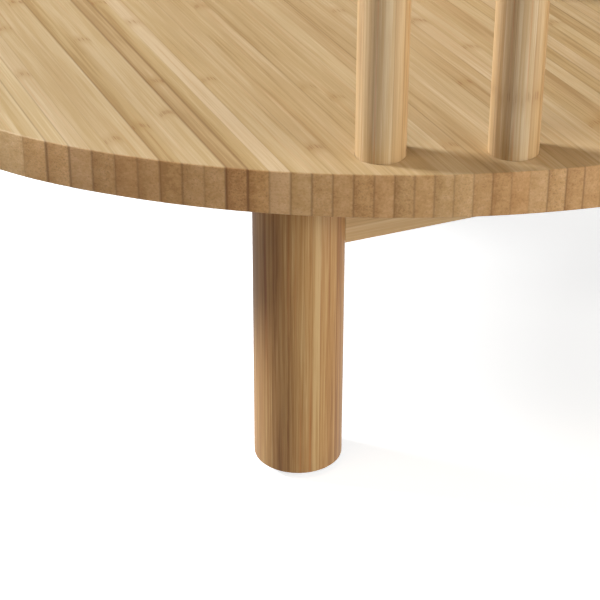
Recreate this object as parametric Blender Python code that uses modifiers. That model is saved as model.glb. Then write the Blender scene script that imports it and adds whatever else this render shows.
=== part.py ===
"""Bamboo mug tree: an oval laminated tray on four dowel legs, with a spindle gallery at
the front and back and a bolted trunk that carries eight mug pegs.

Metres, +Z up. The origin is on the ground under the middle of the tray, front is -Y.
"""
import math

import bmesh
import bpy
from mathutils import Matrix, Vector

# Driving dimensions
BOARD_THICKNESS = 0.0102
BOARD_ARC_RADIUS = 0.1792     # of the long front and back arcs of the oval
BOARD_ARC_SWEEP = math.radians(48)  # from the centre line to the arc's end
BOARD_ARRIS = 0.0005
LEG_RADIUS = 0.01035
LEG_HEIGHT = 0.0694
LEG_INSET = 0.0042            # from the tray's edge to the leg's side
LEG_ANGLE = math.radians(30.63)  # from the centre line, about the front arc's centre
SPINDLE_RADIUS = 0.00555
SPINDLE_INSET = 0.0052        # from the tray's edge to the spindle's side
SPINDLE_STEP = math.radians(9.8)
SPINDLES_PER_GALLERY = 6
GALLERY_CLEARANCE = 0.060     # from the tray to the underside of the cap rail
CAP_RAIL_WIDTH = 0.016
CAP_RAIL_THICKNESS = 0.010
CAP_RAIL_OVERHANG = 0.011     # past the centre of the last spindle, before the round end
CAP_RAIL_ARRIS = 0.0008
TRUNK_RADIUS = 0.013
TRUNK_HEIGHT = 0.310          # above the tray
PEG_LENGTH = 0.084
PEG_TILT = math.radians(22.0)
PEG_START = 0.0046            # from the trunk's axis to the peg's inner end
LOWEST_PEG = 0.115            # above the tray, where the peg's axis meets the trunk's
PEG_LEVEL_STEP = 0.047
PEG_LEVELS = 4
RAIL_THICKNESS = 0.010
RAIL_HEIGHT = 0.0135

# Joinery
GAP = 0.0003
SOCKET_DEPTH = 0.006          # spindles and leg tenons in the tray and the cap rails
LEG_TENON_RADIUS = 0.0065
RAIL_TENON_THICKNESS = 0.005
RAIL_TENON_SHOULDER = 0.0020  # above and below the rail's tenon
RAIL_TENON_START = 0.0047     # from the leg's axis to the tenon's end
TRUNK_SOCKET_DEPTH = 0.004
FOOT_PAD_RADIUS = 0.007
FOOT_PAD_THICKNESS = 0.002
FOOT_PAD_PROUD = 0.001

# Fasteners
BOLT_RADIUS = 0.003
BOLT_HEAD_RADIUS = 0.006
BOLT_HEAD_HEIGHT = 0.0035
BOLT_SOCKET_WIDTH = 0.004     # across the flats of the hexagon
BOLT_SOCKET_DEPTH = 0.002
BOLT_LENGTH = 0.025           # under the head
WASHER_RADIUS = 0.009
WASHER_THICKNESS = 0.0015
INSERT_RADIUS = 0.005
INSERT_LENGTH = 0.013
SCREW_HEAD_RADIUS = 0.0035
SCREW_HEAD_HEIGHT = 0.0022
SCREW_RADIUS = 0.0016
SCREW_POINT_LENGTH = 0.003
SCREW_LENGTH = 0.020
SCREW_SINK = 0.0004           # from the rail's underside to the screw's head
SCREW_OFFSET = 0.045          # from the rail's middle

# Heights and places that follow
LEG_BOTTOM = FOOT_PAD_PROUD
BOARD_BOTTOM = LEG_BOTTOM + LEG_HEIGHT
BOARD_TOP = BOARD_BOTTOM + BOARD_THICKNESS
LEG_CIRCLE = BOARD_ARC_RADIUS - LEG_INSET - LEG_RADIUS
LEG_OFFSET = LEG_CIRCLE * math.sin(LEG_ANGLE)  # the legs stand on a square
ARC_CENTRE = LEG_CIRCLE * math.cos(LEG_ANGLE) - LEG_OFFSET  # the front arc's centre, along +Y
END_RADIUS = BOARD_ARC_RADIUS - ARC_CENTRE / math.cos(BOARD_ARC_SWEEP)
END_CENTRE = (BOARD_ARC_RADIUS - END_RADIUS) * math.sin(BOARD_ARC_SWEEP)
RAIL_TOP = BOARD_BOTTOM - GAP
RAIL_MIDDLE = RAIL_TOP - RAIL_HEIGHT / 2
SPINDLE_CIRCLE = BOARD_ARC_RADIUS - SPINDLE_INSET - SPINDLE_RADIUS
CAP_RAIL_BOTTOM = BOARD_TOP + GALLERY_CLEARANCE
LAST_SPINDLE_ANGLE = SPINDLE_STEP * (SPINDLES_PER_GALLERY - 1) / 2
SCREW_BOTTOM = RAIL_TOP - RAIL_HEIGHT + SCREW_SINK

# Colours (linear RGB)
TRAY_BAMBOO = (0.60, 0.40, 0.21)
DOWEL_BAMBOO = (0.50, 0.31, 0.15)
RAIL_BAMBOO = (0.56, 0.37, 0.19)
STEEL = (0.60, 0.60, 0.62)
PAD_RUBBER = (0.05, 0.045, 0.04)

ROUND_STEPS = 24
DOWEL_STEPS = 16
UP = Vector((0, 0, 1))


def clear_scene():
    for old in list(bpy.data.objects):
        bpy.data.objects.remove(old, do_unlink=True)


def new_collection(name):
    collection = bpy.data.collections.new(name)
    bpy.context.scene.collection.children.link(collection)
    return collection


def material(name, colour, roughness, metallic=0.0):
    finish = bpy.data.materials.new(name)
    finish.use_nodes = True
    shader = finish.node_tree.nodes["Principled BSDF"]
    shader.inputs["Base Color"].default_value = (*colour, 1.0)
    shader.inputs["Roughness"].default_value = roughness
    shader.inputs["Metallic"].default_value = metallic
    finish.diffuse_color = (*colour, 1.0)
    return finish


def place(name, mesh, finish, location=(0, 0, 0), rotation=(0, 0, 0)):
    """Put a mesh in the object's collection as a named piece."""
    piece = bpy.data.objects.new(name, mesh)
    mug_tree.objects.link(piece)
    piece.location = location
    piece.rotation_euler = rotation
    if not mesh.materials:
        mesh.materials.append(finish)
    return piece


def add_cutter(name, build):
    """A hidden mesh object that build(bm) fills with closed shapes."""
    bm = bmesh.new()
    build(bm)
    mesh = bpy.data.meshes.new(name)
    bm.to_mesh(mesh)
    bm.free()
    cutter = bpy.data.objects.new(name, mesh)
    cutters.objects.link(cutter)
    cutter.hide_render = True
    cutter.display_type = "WIRE"
    return cutter


def combine(piece, tool, operation="DIFFERENCE"):
    boolean = piece.modifiers.new(tool.name, "BOOLEAN")
    boolean.operation = operation
    boolean.object = tool
    boolean.solver = "EXACT"


def finished_mesh(guide, name):
    """The evaluated mesh of an object at the origin, which is then removed."""
    depsgraph = bpy.context.evaluated_depsgraph_get()
    mesh = bpy.data.meshes.new_from_object(guide.evaluated_get(depsgraph))
    mesh.name = name
    bpy.data.objects.remove(guide, do_unlink=True)
    return mesh


def smooth(mesh):
    mesh.shade_smooth()
    mesh.set_sharp_from_angle(angle=math.radians(35))


def add_rod(bm, radius, start, end, steps=ROUND_STEPS, end_radius=None):
    """A closed rod or cone between two points."""
    run = end - start
    turn = UP.rotation_difference(run).to_matrix().to_4x4()
    bmesh.ops.create_cone(
        bm,
        cap_ends=True,
        segments=steps,
        radius1=radius,
        radius2=radius if end_radius is None else end_radius,
        depth=run.length,
        matrix=Matrix.Translation((start + end) / 2) @ turn,
    )


def add_box(bm, size, centre):
    scale = Matrix.Diagonal((*size, 1.0))
    bmesh.ops.create_cube(bm, size=1.0, matrix=Matrix.Translation(centre) @ scale)


def turned(name, profile, steps=ROUND_STEPS):
    """An object with a profile of (radius, height), from top to bottom, spun about Z."""
    mesh = bpy.data.meshes.new(name)
    points = [(radius, 0, height) for radius, height in profile]
    edges = [(index, index + 1) for index in range(len(points) - 1)]
    mesh.from_pydata(points, edges, [])
    guide = bpy.data.objects.new(name, mesh)
    mug_tree.objects.link(guide)
    screw = guide.modifiers.new("Turn", "SCREW")
    screw.angle = math.tau
    screw.steps = steps
    screw.render_steps = steps
    screw.use_merge_vertices = True
    screw.merge_threshold = 0.00001
    return guide


def on_circle(radius, angle, height=0.0):
    return Vector((radius * math.cos(angle), radius * math.sin(angle), height))


def arc(centre, radius, start, end, steps):
    """Points along an arc, both ends included."""
    return [centre + on_circle(radius, start + (end - start) * step / steps) for step in range(steps + 1)]


def flat_piece(name, points, thickness, arris, bottom):
    """A flat piece with eased edges, from its outline, as an object with a plain mesh."""
    outline = bpy.data.curves.new(name, "CURVE")
    outline.dimensions = "2D"
    outline.fill_mode = "BOTH"
    outline.extrude = thickness / 2 - arris
    outline.bevel_depth = arris
    outline.bevel_resolution = 1
    outline.offset = -arris
    spline = outline.splines.new("POLY")
    spline.points.add(len(points) - 1)
    for spline_point, point in zip(spline.points, points):
        spline_point.co = (*point, 1.0)
    spline.use_cyclic_u = True
    guide = bpy.data.objects.new(name, outline)
    mug_tree.objects.link(guide)
    mesh = finished_mesh(guide, name)
    bm = bmesh.new()
    bm.from_mesh(mesh)
    bmesh.ops.remove_doubles(bm, verts=bm.verts, dist=0.00001)
    bmesh.ops.translate(bm, verts=bm.verts, vec=(0, 0, bottom + thickness / 2))
    bm.to_mesh(mesh)
    bm.free()
    piece = bpy.data.objects.new(name, mesh)
    mug_tree.objects.link(piece)
    return piece


def gallery_angles():
    """The spindles' angles about the arc's centre, counted from the centre line."""
    return [-LAST_SPINDLE_ANGLE + index * SPINDLE_STEP for index in range(SPINDLES_PER_GALLERY)]


def spindle_places():
    """Name, centre and turn of each spindle."""
    for gallery, turn in (("front", -math.pi / 2), ("back", math.pi / 2)):
        arc_centre = on_circle(-ARC_CENTRE, turn)
        for number, angle in enumerate(gallery_angles(), start=1):
            centre = arc_centre + on_circle(SPINDLE_CIRCLE, turn + angle)
            yield f"spindle_{gallery}_{number}", centre, turn + angle


def leg_places():
    """Name, centre and turn of each leg; its mortise faces +X before the turn."""
    return (
        ("front_left", -LEG_OFFSET, -LEG_OFFSET, 0.0),
        ("front_right", LEG_OFFSET, -LEG_OFFSET, math.pi),
        ("back_right", LEG_OFFSET, LEG_OFFSET, math.pi),
        ("back_left", -LEG_OFFSET, LEG_OFFSET, 0.0),
    )


def screw_places():
    for side in (-1, 1):
        for offset in (-1, 1):
            yield offset * SCREW_OFFSET, side * LEG_OFFSET


def board_outline():
    """The oval: two long arcs joined by two tighter end arcs that meet them smoothly."""
    front = -math.pi / 2
    end_sweep = math.pi / 2 - BOARD_ARC_SWEEP
    points = []
    for half in (0, math.pi):
        long_centre = on_circle(-ARC_CENTRE, front + half)
        end_centre = on_circle(END_CENTRE, half)
        middle = front + half
        long_arc = arc(long_centre, BOARD_ARC_RADIUS, middle - BOARD_ARC_SWEEP, middle + BOARD_ARC_SWEEP, 24)
        end_arc = arc(end_centre, END_RADIUS, half - end_sweep, half + end_sweep, 16)
        points += long_arc[:-1] + end_arc[:-1]
    return points


def make_board(finish):
    """The tray, with blind sockets for the spindles, the legs, the screws and the trunk."""
    board = flat_piece("base_board", board_outline(), BOARD_THICKNESS, BOARD_ARRIS, BOARD_BOTTOM)
    outside = 0.002

    def sockets(bm):
        for _, centre, _ in spindle_places():
            mouth = centre + UP * (BOARD_TOP + outside)
            floor = centre + UP * (BOARD_TOP - SOCKET_DEPTH)
            add_rod(bm, SPINDLE_RADIUS + GAP, floor, mouth, steps=DOWEL_STEPS)
        for _, x, y, _ in leg_places():
            mouth = Vector((x, y, BOARD_BOTTOM - outside))
            floor = Vector((x, y, BOARD_BOTTOM + SOCKET_DEPTH))
            add_rod(bm, LEG_TENON_RADIUS + GAP, mouth, floor)
        for x, y in screw_places():
            mouth = Vector((x, y, BOARD_BOTTOM - outside))
            floor = Vector((x, y, SCREW_BOTTOM + SCREW_LENGTH + GAP))
            add_rod(bm, SCREW_RADIUS + GAP, mouth, floor, steps=8)

    def trunk_socket(bm):
        add_rod(bm, TRUNK_RADIUS + GAP, UP * (BOARD_TOP - TRUNK_SOCKET_DEPTH), UP * (BOARD_TOP + outside))

    def bolt_hole(bm):
        add_rod(bm, BOLT_RADIUS + GAP, UP * (BOARD_BOTTOM - outside), UP * (BOARD_TOP + outside), steps=12)

    combine(board, add_cutter("board_sockets", sockets))
    combine(board, add_cutter("board_trunk_socket", trunk_socket))
    combine(board, add_cutter("board_bolt_hole", bolt_hole))
    mesh = finished_mesh(board, "base_board")
    smooth(mesh)
    place("base_board", mesh, finish)


def make_legs(finish, pad_finish):
    """Plain dowels with a round tenon on top, a rail mortise and a recessed foot pad."""
    shoulder = BOARD_BOTTOM - GAP
    tenon_top = BOARD_BOTTOM + SOCKET_DEPTH - GAP
    recess_top = FOOT_PAD_THICKNESS + GAP
    arris = 0.0003
    leg = turned("leg", [
        (0, tenon_top),
        (LEG_TENON_RADIUS, tenon_top),
        (LEG_TENON_RADIUS, shoulder),
        (LEG_RADIUS, shoulder),
        (LEG_RADIUS, LEG_BOTTOM + arris),
        (LEG_RADIUS - arris, LEG_BOTTOM),
        (FOOT_PAD_RADIUS + GAP, LEG_BOTTOM),
        (FOOT_PAD_RADIUS + GAP, recess_top),
        (0, recess_top),
    ])
    reach = 2 * LEG_RADIUS
    size = (
        reach,
        RAIL_TENON_THICKNESS + 2 * GAP,
        RAIL_HEIGHT - 2 * RAIL_TENON_SHOULDER + 2 * GAP,
    )
    middle = RAIL_TENON_START - GAP + reach / 2
    combine(leg, add_cutter("leg_mortise", lambda bm: add_box(bm, size, (middle, 0, RAIL_MIDDLE))))
    mesh = finished_mesh(leg, "leg")
    smooth(mesh)
    pad = turned("pad", [
        (0, FOOT_PAD_THICKNESS),
        (FOOT_PAD_RADIUS, FOOT_PAD_THICKNESS),
        (FOOT_PAD_RADIUS, arris),
        (FOOT_PAD_RADIUS - arris, 0),
        (0, 0),
    ], steps=DOWEL_STEPS)
    pad_mesh = finished_mesh(pad, "foot_pad")
    smooth(pad_mesh)
    for name, x, y, turn in leg_places():
        place(f"leg_{name}", mesh, finish, (x, y, 0), (0, 0, turn))
        place(f"foot_pad_{name}", pad_mesh, pad_finish, (x, y, 0))


def make_rails(finish):
    """Two rails that cross the strips of the tray from leg to leg, coped and with stub tenons."""
    rail = add_cutter("rail", lambda bm: add_box(
        bm, (2 * LEG_OFFSET, RAIL_THICKNESS, RAIL_HEIGHT), (0, 0, RAIL_MIDDLE)))

    def copes(bm):
        for side in (-LEG_OFFSET, LEG_OFFSET):
            low = Vector((side, 0, RAIL_MIDDLE - RAIL_HEIGHT))
            add_rod(bm, LEG_RADIUS + GAP, low, low + UP * 2 * RAIL_HEIGHT)

    def tenons(bm):
        size = (
            2 * (LEG_OFFSET - RAIL_TENON_START),
            RAIL_TENON_THICKNESS,
            RAIL_HEIGHT - 2 * RAIL_TENON_SHOULDER,
        )
        add_box(bm, size, (0, 0, RAIL_MIDDLE))

    def shank_holes(bm):
        for x in (-SCREW_OFFSET, SCREW_OFFSET):
            low = Vector((x, 0, RAIL_MIDDLE - RAIL_HEIGHT))
            add_rod(bm, SCREW_RADIUS + GAP, low, low + UP * 2 * RAIL_HEIGHT, steps=8)

    def countersinks(bm):
        height = 2 * SCREW_HEAD_HEIGHT
        narrow = SCREW_RADIUS + GAP / 2
        wide = narrow + 2 * (SCREW_HEAD_RADIUS + GAP - narrow)
        for x in (-SCREW_OFFSET, SCREW_OFFSET):
            top = Vector((x, 0, SCREW_BOTTOM + SCREW_HEAD_HEIGHT + GAP))
            add_rod(bm, wide, top - UP * height, top, steps=12, end_radius=narrow)

    combine(rail, add_cutter("rail_copes", copes))
    combine(rail, add_cutter("rail_tenons", tenons), "UNION")
    combine(rail, add_cutter("rail_shank_holes", shank_holes))
    combine(rail, add_cutter("rail_countersinks", countersinks))
    mesh = finished_mesh(rail, "rail")
    smooth(mesh)
    for name, turn in (("front", -math.pi / 2), ("back", math.pi / 2)):
        place(f"rail_{name}", mesh, finish, on_circle(LEG_OFFSET, turn), (0, 0, turn + math.pi / 2))


def make_rail_screws(finish):
    """Countersunk screws, heads down, that hold the rails up against the tray."""
    tip = SCREW_BOTTOM + SCREW_LENGTH
    screw = turned("rail_screw", [
        (0, tip),
        (SCREW_RADIUS, tip - SCREW_POINT_LENGTH),
        (SCREW_RADIUS, SCREW_BOTTOM + SCREW_HEAD_HEIGHT),
        (SCREW_HEAD_RADIUS, SCREW_BOTTOM + GAP),
        (SCREW_HEAD_RADIUS, SCREW_BOTTOM),
        (0, SCREW_BOTTOM),
    ], steps=12)
    mesh = finished_mesh(screw, "rail_screw")
    smooth(mesh)
    for number, (x, y) in enumerate(screw_places(), start=1):
        place(f"rail_screw_{number}", mesh, finish, (x, y, 0))


def make_spindles(finish):
    low = BOARD_TOP - SOCKET_DEPTH + GAP
    high = CAP_RAIL_BOTTOM + SOCKET_DEPTH - GAP
    arris = 0.0004
    spindle = turned("spindle", [
        (0, high),
        (SPINDLE_RADIUS - arris, high),
        (SPINDLE_RADIUS, high - arris),
        (SPINDLE_RADIUS, low + arris),
        (SPINDLE_RADIUS - arris, low),
        (0, low),
    ], steps=DOWEL_STEPS)
    mesh = finished_mesh(spindle, "spindle")
    smooth(mesh)
    for name, centre, turn in spindle_places():
        place(name, mesh, finish, centre, (0, 0, turn))


def cap_rail_outline():
    """A band along the spindles' arc, about the arc's centre, with half-round ends."""
    half_width = CAP_RAIL_WIDTH / 2
    sweep = LAST_SPINDLE_ANGLE + (CAP_RAIL_OVERHANG - half_width) / SPINDLE_CIRCLE
    origin = Vector((0, 0, 0))
    end_centre = on_circle(SPINDLE_CIRCLE, sweep)
    start_centre = on_circle(SPINDLE_CIRCLE, -sweep)
    points = arc(origin, SPINDLE_CIRCLE + half_width, -sweep, sweep, 16)
    points += arc(end_centre, half_width, sweep, sweep + math.pi, 8)[1:-1]
    points += arc(origin, SPINDLE_CIRCLE - half_width, sweep, -sweep, 16)
    points += arc(start_centre, half_width, math.pi - sweep, math.tau - sweep, 8)[1:-1]
    return points


def make_cap_rails(finish):
    """Curved rails over the spindles, drilled from below."""
    rail = flat_piece("cap_rail", cap_rail_outline(), CAP_RAIL_THICKNESS, CAP_RAIL_ARRIS, CAP_RAIL_BOTTOM)

    def sockets(bm):
        for angle in gallery_angles():
            mouth = on_circle(SPINDLE_CIRCLE, angle, CAP_RAIL_BOTTOM - CAP_RAIL_THICKNESS)
            floor = on_circle(SPINDLE_CIRCLE, angle, CAP_RAIL_BOTTOM + SOCKET_DEPTH)
            add_rod(bm, SPINDLE_RADIUS + GAP, mouth, floor, steps=DOWEL_STEPS)

    combine(rail, add_cutter("cap_rail_sockets", sockets))
    mesh = finished_mesh(rail, "cap_rail_drilled")
    smooth(mesh)
    for name, turn in (("front", -math.pi / 2), ("back", math.pi / 2)):
        place(f"cap_rail_{name}", mesh, finish, on_circle(-ARC_CENTRE, turn), (0, 0, turn))


def peg_directions():
    """Name, height on the trunk's axis and heading of each peg: opposite pairs, crossed."""
    number = 0
    for level in range(PEG_LEVELS):
        height = BOARD_TOP + LOWEST_PEG + level * PEG_LEVEL_STEP
        for half_turn in (0, math.pi):
            number += 1
            yield f"peg_{number}", height, half_turn + (level % 2) * math.pi / 2


def peg_axis(heading):
    return Vector((
        math.cos(PEG_TILT) * math.cos(heading),
        math.cos(PEG_TILT) * math.sin(heading),
        math.sin(PEG_TILT),
    ))


def make_trunk(finish):
    """The post, with a seat for the threaded insert and a tilted socket for each peg."""
    bottom = BOARD_TOP - TRUNK_SOCKET_DEPTH + GAP
    insert_seat = bottom + INSERT_LENGTH + 2 * GAP
    bolt_bore = insert_seat + 0.006
    top = BOARD_TOP + TRUNK_HEIGHT
    rounding = 0.004
    profile = [(0, top)]
    for step in range(4):
        turn = math.pi / 2 * step / 3
        profile.append((
            TRUNK_RADIUS - rounding + rounding * math.sin(turn),
            top - rounding + rounding * math.cos(turn),
        ))
    profile += [
        (TRUNK_RADIUS, bottom),
        (INSERT_RADIUS + GAP, bottom),
        (INSERT_RADIUS + GAP, insert_seat),
        (BOLT_RADIUS + GAP, insert_seat),
        (BOLT_RADIUS + GAP, bolt_bore),
        (0, bolt_bore),
    ]
    trunk = turned("trunk", profile)

    def sockets(bm):
        for _, height, heading in peg_directions():
            axis = peg_axis(heading)
            centre = UP * height
            floor = centre + axis * (PEG_START - GAP)
            mouth = centre + axis * 2 * TRUNK_RADIUS
            add_rod(bm, SPINDLE_RADIUS + GAP, floor, mouth, steps=DOWEL_STEPS)

    combine(trunk, add_cutter("trunk_peg_sockets", sockets))
    mesh = finished_mesh(trunk, "trunk")
    smooth(mesh)
    place("trunk", mesh, finish)


def make_pegs(finish):
    """Tilted dowels with a domed tip; a peg's own +Z runs out along its axis."""
    rounding = 0.003
    arris = 0.0003
    profile = [(0, PEG_LENGTH)]
    for step in range(3):
        turn = math.pi / 2 * step / 2
        profile.append((
            SPINDLE_RADIUS - rounding + rounding * math.sin(turn),
            PEG_LENGTH - rounding + rounding * math.cos(turn),
        ))
    profile += [(SPINDLE_RADIUS, arris), (SPINDLE_RADIUS - arris, 0), (0, 0)]
    mesh = finished_mesh(turned("peg", profile, steps=DOWEL_STEPS), "peg")
    smooth(mesh)
    for name, height, heading in peg_directions():
        start = UP * height + peg_axis(heading) * PEG_START
        place(name, mesh, finish, start, (0, math.pi / 2 - PEG_TILT, heading))


def make_trunk_fastening(finish):
    """A socket-head bolt and washer under the tray, and the insert it pulls on."""
    washer_top = BOARD_BOTTOM - GAP
    washer_bottom = washer_top - WASHER_THICKNESS
    head_top = washer_bottom - GAP
    head_bottom = head_top - BOLT_HEAD_HEIGHT
    bolt_top = head_top + BOLT_LENGTH
    insert_bottom = BOARD_TOP - TRUNK_SOCKET_DEPTH + 2 * GAP
    hole = BOLT_RADIUS + GAP
    bolt = turned("trunk_bolt", [
        (0, bolt_top),
        (BOLT_RADIUS - GAP, bolt_top),
        (BOLT_RADIUS, bolt_top - GAP),
        (BOLT_RADIUS, head_top),
        (BOLT_HEAD_RADIUS, head_top),
        (BOLT_HEAD_RADIUS, head_bottom + GAP),
        (BOLT_HEAD_RADIUS - GAP, head_bottom),
        (0, head_bottom),
    ], steps=DOWEL_STEPS)

    def hexagon(bm):
        low = UP * (head_bottom - BOLT_SOCKET_DEPTH)
        high = UP * (head_bottom + BOLT_SOCKET_DEPTH)
        add_rod(bm, BOLT_SOCKET_WIDTH / math.sqrt(3), low, high, steps=6)

    combine(bolt, add_cutter("bolt_hexagon", hexagon))
    washer = turned("trunk_washer", [
        (hole, washer_top),
        (WASHER_RADIUS, washer_top),
        (WASHER_RADIUS, washer_bottom),
        (hole, washer_bottom),
        (hole, washer_top),
    ], steps=DOWEL_STEPS)
    insert = turned("trunk_insert", [
        (hole, insert_bottom + INSERT_LENGTH),
        (INSERT_RADIUS, insert_bottom + INSERT_LENGTH),
        (INSERT_RADIUS, insert_bottom),
        (hole, insert_bottom),
        (hole, insert_bottom + INSERT_LENGTH),
    ], steps=DOWEL_STEPS)
    for guide in (bolt, washer, insert):
        name = guide.name
        mesh = finished_mesh(guide, f"{name}_mesh")
        smooth(mesh)
        place(name, mesh, finish)


clear_scene()
mug_tree = new_collection("mug_tree")
cutters = new_collection("cutters")
tray_bamboo = material("tray_bamboo", TRAY_BAMBOO, 0.5)
dowel_bamboo = material("dowel_bamboo", DOWEL_BAMBOO, 0.5)
rail_bamboo = material("rail_bamboo", RAIL_BAMBOO, 0.5)
steel = material("steel", STEEL, 0.35, 1.0)
pad_rubber = material("pad_rubber", PAD_RUBBER, 0.8)

make_board(tray_bamboo)
make_legs(dowel_bamboo, pad_rubber)
make_rails(rail_bamboo)
make_rail_screws(steel)
make_spindles(dowel_bamboo)
make_cap_rails(rail_bamboo)
make_trunk(dowel_bamboo)
make_pegs(dowel_bamboo)
make_trunk_fastening(steel)
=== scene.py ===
import math

import bmesh
import bpy
from mathutils import Euler, Matrix, Vector


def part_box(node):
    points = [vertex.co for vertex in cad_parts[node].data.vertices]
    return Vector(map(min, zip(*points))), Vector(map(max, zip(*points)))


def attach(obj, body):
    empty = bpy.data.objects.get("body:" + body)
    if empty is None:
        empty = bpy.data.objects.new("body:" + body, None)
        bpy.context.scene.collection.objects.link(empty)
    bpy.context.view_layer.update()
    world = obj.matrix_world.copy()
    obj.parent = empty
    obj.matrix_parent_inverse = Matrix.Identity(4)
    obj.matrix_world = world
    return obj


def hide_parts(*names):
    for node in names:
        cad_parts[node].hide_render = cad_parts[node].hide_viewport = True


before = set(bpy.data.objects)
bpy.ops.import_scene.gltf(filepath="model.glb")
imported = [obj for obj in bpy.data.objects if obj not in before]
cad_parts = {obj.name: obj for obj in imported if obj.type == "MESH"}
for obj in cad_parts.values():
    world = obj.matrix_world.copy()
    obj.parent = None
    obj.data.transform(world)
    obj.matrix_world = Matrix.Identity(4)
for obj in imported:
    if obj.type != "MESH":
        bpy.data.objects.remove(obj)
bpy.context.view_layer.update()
print("frame loaded:", len(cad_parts), "nodes")

# what the frame says about the heights and places that everything else is set out from
trayLow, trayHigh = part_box("base_board")
trunkLow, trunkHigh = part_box("trunk")
capLow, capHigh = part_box("cap_rail_front")
railLow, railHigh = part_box("rail_front")
up = Vector((0, 0, 1))


# sockets that can be added and multiplied, for shader and geometry trees alike

class Wire:
    def __init__(self, tree, socket=None):
        self.tree = tree
        self.socket = socket

    def feed(self, target, value):
        if isinstance(value, Wire):
            self.tree.links.new(value.socket, target)
        elif hasattr(target.default_value, "__len__") and isinstance(value, (int, float)):
            target.default_value = [value] * len(target.default_value)
        else:
            target.default_value = value

    # any node: its settings first, then its sockets by name or number, then which output to go on from
    def node(self, kind, settings=None, sockets=None, out=0):
        made = self.tree.nodes.new(kind)
        for name, value in (settings or {}).items():
            if name == "stops":
                fillRamp(made.color_ramp, value)
            else:
                setattr(made, name, value)
        for key, value in (sockets or {}).items():
            self.feed(made.inputs[key], value)
        wire = Wire(self.tree, made.outputs[out])
        wire.made = made
        return wire

    def math(self, operation, *values):
        return self.node("ShaderNodeMath", {"operation": operation}, dict(enumerate(values)))

    def __add__(self, other):
        return self.math("ADD", self, other)

    def __radd__(self, other):
        return self.math("ADD", other, self)

    def __sub__(self, other):
        return self.math("SUBTRACT", self, other)

    def __rsub__(self, other):
        return self.math("SUBTRACT", other, self)

    def __mul__(self, other):
        return self.math("MULTIPLY", self, other)

    def __rmul__(self, other):
        return self.math("MULTIPLY", other, self)

    def __truediv__(self, other):
        return self.math("DIVIDE", self, other)

    def floor(self):
        return self.math("FLOOR", self)

    def size(self):
        return self.math("ABSOLUTE", self)

    # 0 below low, 1 above high, or the other way round when low is the greater
    def ramp(self, low, high):
        settings = {"interpolation_type": "SMOOTHSTEP"}
        sockets = {"Value": self, "From Min": min(low, high), "From Max": max(low, high)}
        rising = self.node("ShaderNodeMapRange", settings, sockets)
        return rising if low < high else 1 - rising

    def blend(self, other, factor, way="MIX"):
        return self.node("ShaderNodeMix", {"data_type": "RGBA", "blend_type": way},
                         {0: factor, 6: self, 7: other}, out=2)

    def split(self):
        parts = self.node("ShaderNodeSeparateXYZ", sockets={0: self})
        return [Wire(self.tree, socket) for socket in parts.made.outputs]

    def stretch(self, across, along):
        sizes = (across, across, along)
        return self.node("ShaderNodeVectorMath", {"operation": "MULTIPLY"}, {0: self, 1: sizes})

    def shifted(self, by):
        return self.node("ShaderNodeVectorMath", {"operation": "ADD"}, {0: self, 1: by})


def fillRamp(ramp, stops):
    ramp.interpolation = stops["interpolation"]
    while len(ramp.elements) > 1:
        ramp.elements.remove(ramp.elements[-1])
    for number, (place, colour) in enumerate(stops["colours"]):
        element = ramp.elements[0] if number == 0 else ramp.elements.new(place)
        element.position = place
        element.color = colour if len(colour) == 4 else (*colour, 1.0)


# colours are noted as they look on a screen, and turned into the light that they reflect
def screen(red, green, blue):
    return tuple((value / 255 / 12.92) if value <= 10 else ((value / 255 + 0.055) / 1.055) ** 2.4
                 for value in (red, green, blue))


def newMaterial(name):
    material = bpy.data.materials.new(name)
    material.use_nodes = True
    tree = material.node_tree
    shader = tree.nodes["Principled BSDF"]
    return material, Wire(tree), shader


# bamboo: strips side by side, fibres and bundles along the grain, and a knuckle now and then

trayFinish = {
    "stripWidth": 0.0039,
    "firstStrip": -0.1263,          # where the strips that are listed begin
    "colours": [screen(179, 151, 109), screen(197, 172, 130), screen(207, 185, 147), screen(218, 199, 165)],
    # from the left: tone, place of the knuckle along the grain, how yellow, how dark the seam before it
    "strips": [
        (0.50, 0.62, 0.5, 0.2), (0.48, 0.27, 0.4, 0.3), (0.60, 0.70, 0.6, 0.2), (0.30, 0.29, 0.8, 0.8),
        (0.60, 0.55, 0.5, 0.2), (0.68, 0.31, 0.6, 0.1), (0.26, 0.40, 0.3, 1.0), (0.42, 0.66, 0.9, 0.9),
        (0.92, 0.58, 0.2, 0.2), (0.58, 0.38, 0.7, 0.4), (0.50, 0.90, 0.5, 0.1), (0.46, 0.17, 0.4, 0.4),
        (0.38, 0.68, 0.6, 0.3), (0.52, 0.60, 0.4, 0.3), (0.40, 0.32, 0.5, 0.5), (0.46, 0.28, 0.6, 0.1),
        (0.50, 0.83, 0.5, 0.2), (0.72, 0.71, 0.7, 0.3), (0.46, 0.12, 0.3, 0.2), (0.34, 0.64, 0.4, 0.6),
        (0.50, 0.77, 0.4, 0.2), (0.66, 0.52, 0.4, 0.1), (0.58, 0.88, 0.5, 0.3), (0.44, 0.26, 0.3, 0.5),
    ],
    "knuckleSpacing": 0.21,
    "knuckleStart": -0.122,
    "knuckle": 0.8,                 # this and the next four: how strongly each shows
    "bundles": 0.08,
    "fibres": 0.14,
    "drift": 0.9,                   # slow changes of tone along a strip
    "streaks": 1.3,
    "spread": 0.55,                 # how much the strips that aren't listed differ
    "endColour": (1.10, 0.98, 0.86),
    "roughness": 0.46,
    "lacquer": 0.42,
    "seams": 0.55,
}

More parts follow.
